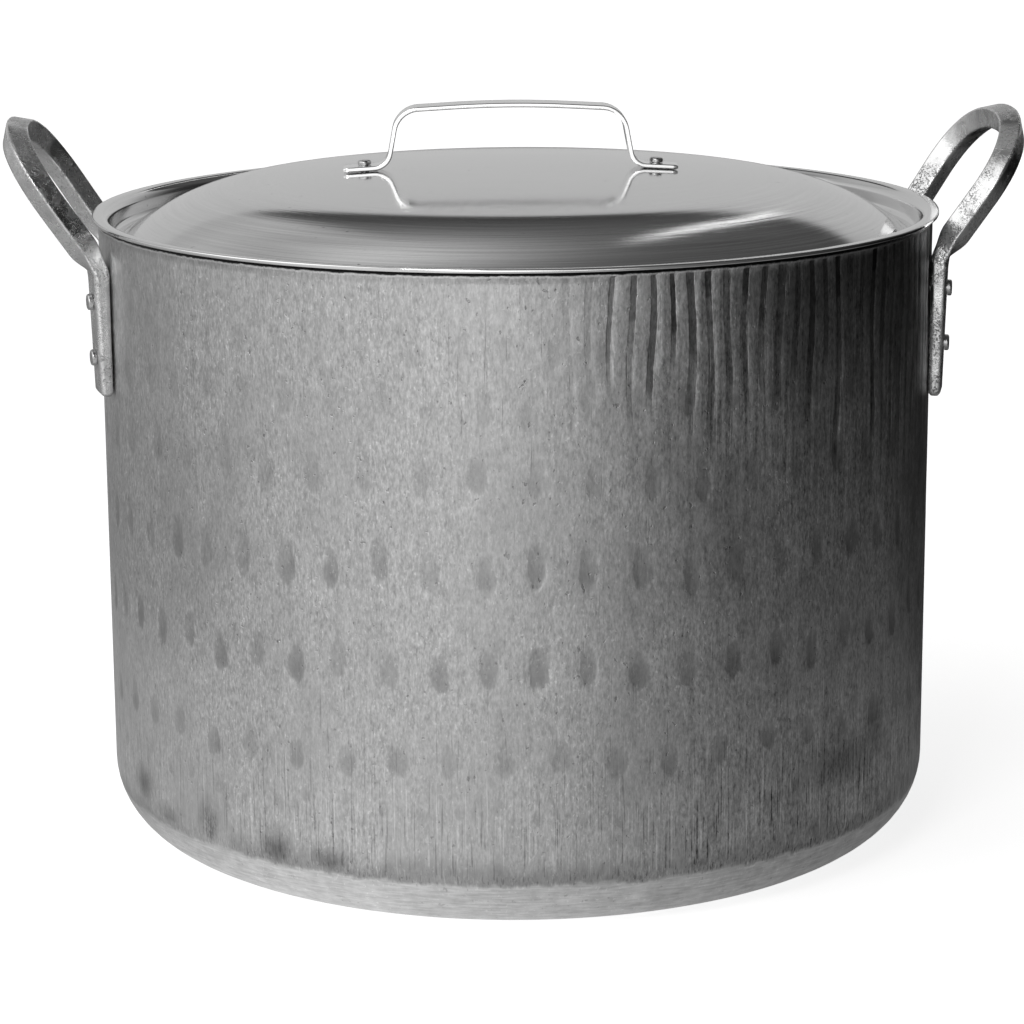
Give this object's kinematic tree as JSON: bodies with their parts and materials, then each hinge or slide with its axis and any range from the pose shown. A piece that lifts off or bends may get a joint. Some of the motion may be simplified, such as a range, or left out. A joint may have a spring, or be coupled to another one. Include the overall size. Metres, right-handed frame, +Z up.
{
  "type": "lidded stockpot",
  "caption": "Deep straight-sided aluminium stockpot with slanted loop handles riveted to its wall and a domed lift-off lid with a riveted strap handle, for outdoor frying and boiling.",
  "frame": {"origin": "middle of the flat base, at the level that rests on the burner or table", "axes": "+Z up the axis of the pot, +X towards the right side handle as seen from the front, +Y to the back"},
  "size_m": [0.4788, 0.3998, 0.3462],
  "materials": {
    "wall": "worn, hammered and lightly scratched",
    "lid": "polished with fine turning marks",
    "strap": "polished",
    "cast": "cast, pitted and tumbled bright",
    "rivet": "bright"
  },
  "bodies": {
    "pot": {"pot_shell": "wall", "side_handle_right": "cast", "side_handle_left": "cast", "rivet_right_front_upper": "rivet", "rivet_right_front_lower": "rivet", "rivet_right_rear_upper": "rivet", "rivet_right_rear_lower": "rivet", "rivet_left_front_upper": "rivet", "rivet_left_front_lower": "rivet", "rivet_left_rear_upper": "rivet", "rivet_left_rear_lower": "rivet"},
    "lid": {"lid_shell": "lid", "lid_handle": "strap", "lid_rivet_left": "rivet", "lid_rivet_right": "rivet"}
  },
  "joints": [
    {"name": "lid_lift", "type": "slide", "parent": "pot", "child": "lid", "axis": [0, 0, 1], "range_m": [0, 0.4]}
  ]
}
